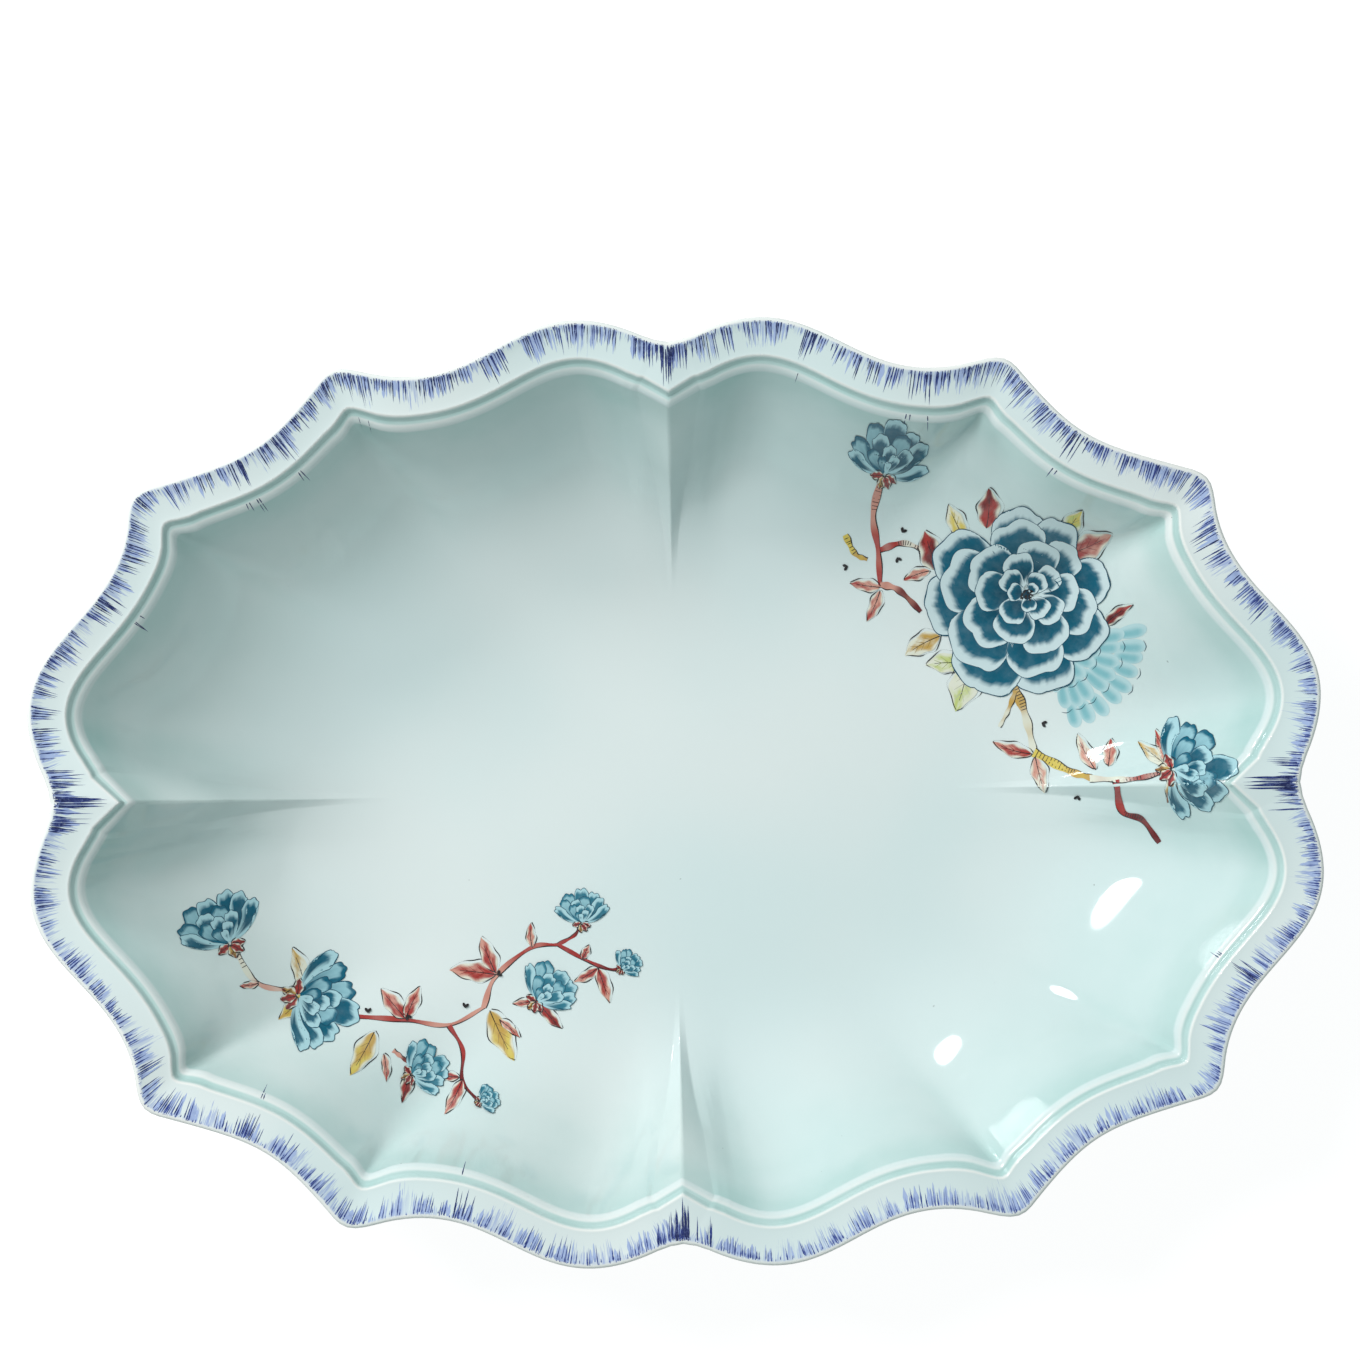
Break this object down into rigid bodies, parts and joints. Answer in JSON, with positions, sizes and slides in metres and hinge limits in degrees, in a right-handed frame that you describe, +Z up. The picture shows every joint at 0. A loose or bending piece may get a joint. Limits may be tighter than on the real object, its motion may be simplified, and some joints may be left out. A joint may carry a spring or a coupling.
{
  "type": "serving bowl",
  "caption": "Oval fluted porcelain serving bowl with a scalloped stepped rim, an oval foot ring and two fired-on flower transfers.",
  "frame": {"origin": "centre of the foot ring's resting plane, under the middle of the bowl", "axes": "+X along the bowl's length, +Y across its width, +Z up out of the bowl's mouth"},
  "size_m": [0.4088, 0.2996, 0.072],
  "materials": {
    "celadon_glaze": "high-gloss pale blue-green glaze with cobalt brush strokes on the rim",
    "bare_porcelain": "unglazed, matt, wiped foot",
    "peony_enamel": "glossy fired-on enamel print, teal blue with red and ochre leaves",
    "blossom_enamel": "glossy fired-on enamel print, teal blue with iron-red twigs"
  },
  "bodies": {
    "root": {"bowl_body": "celadon_glaze", "foot_ring": "bare_porcelain", "peony_spray_transfer": "peony_enamel", "blossom_spray_transfer": "blossom_enamel"}
  },
  "joints": []
}
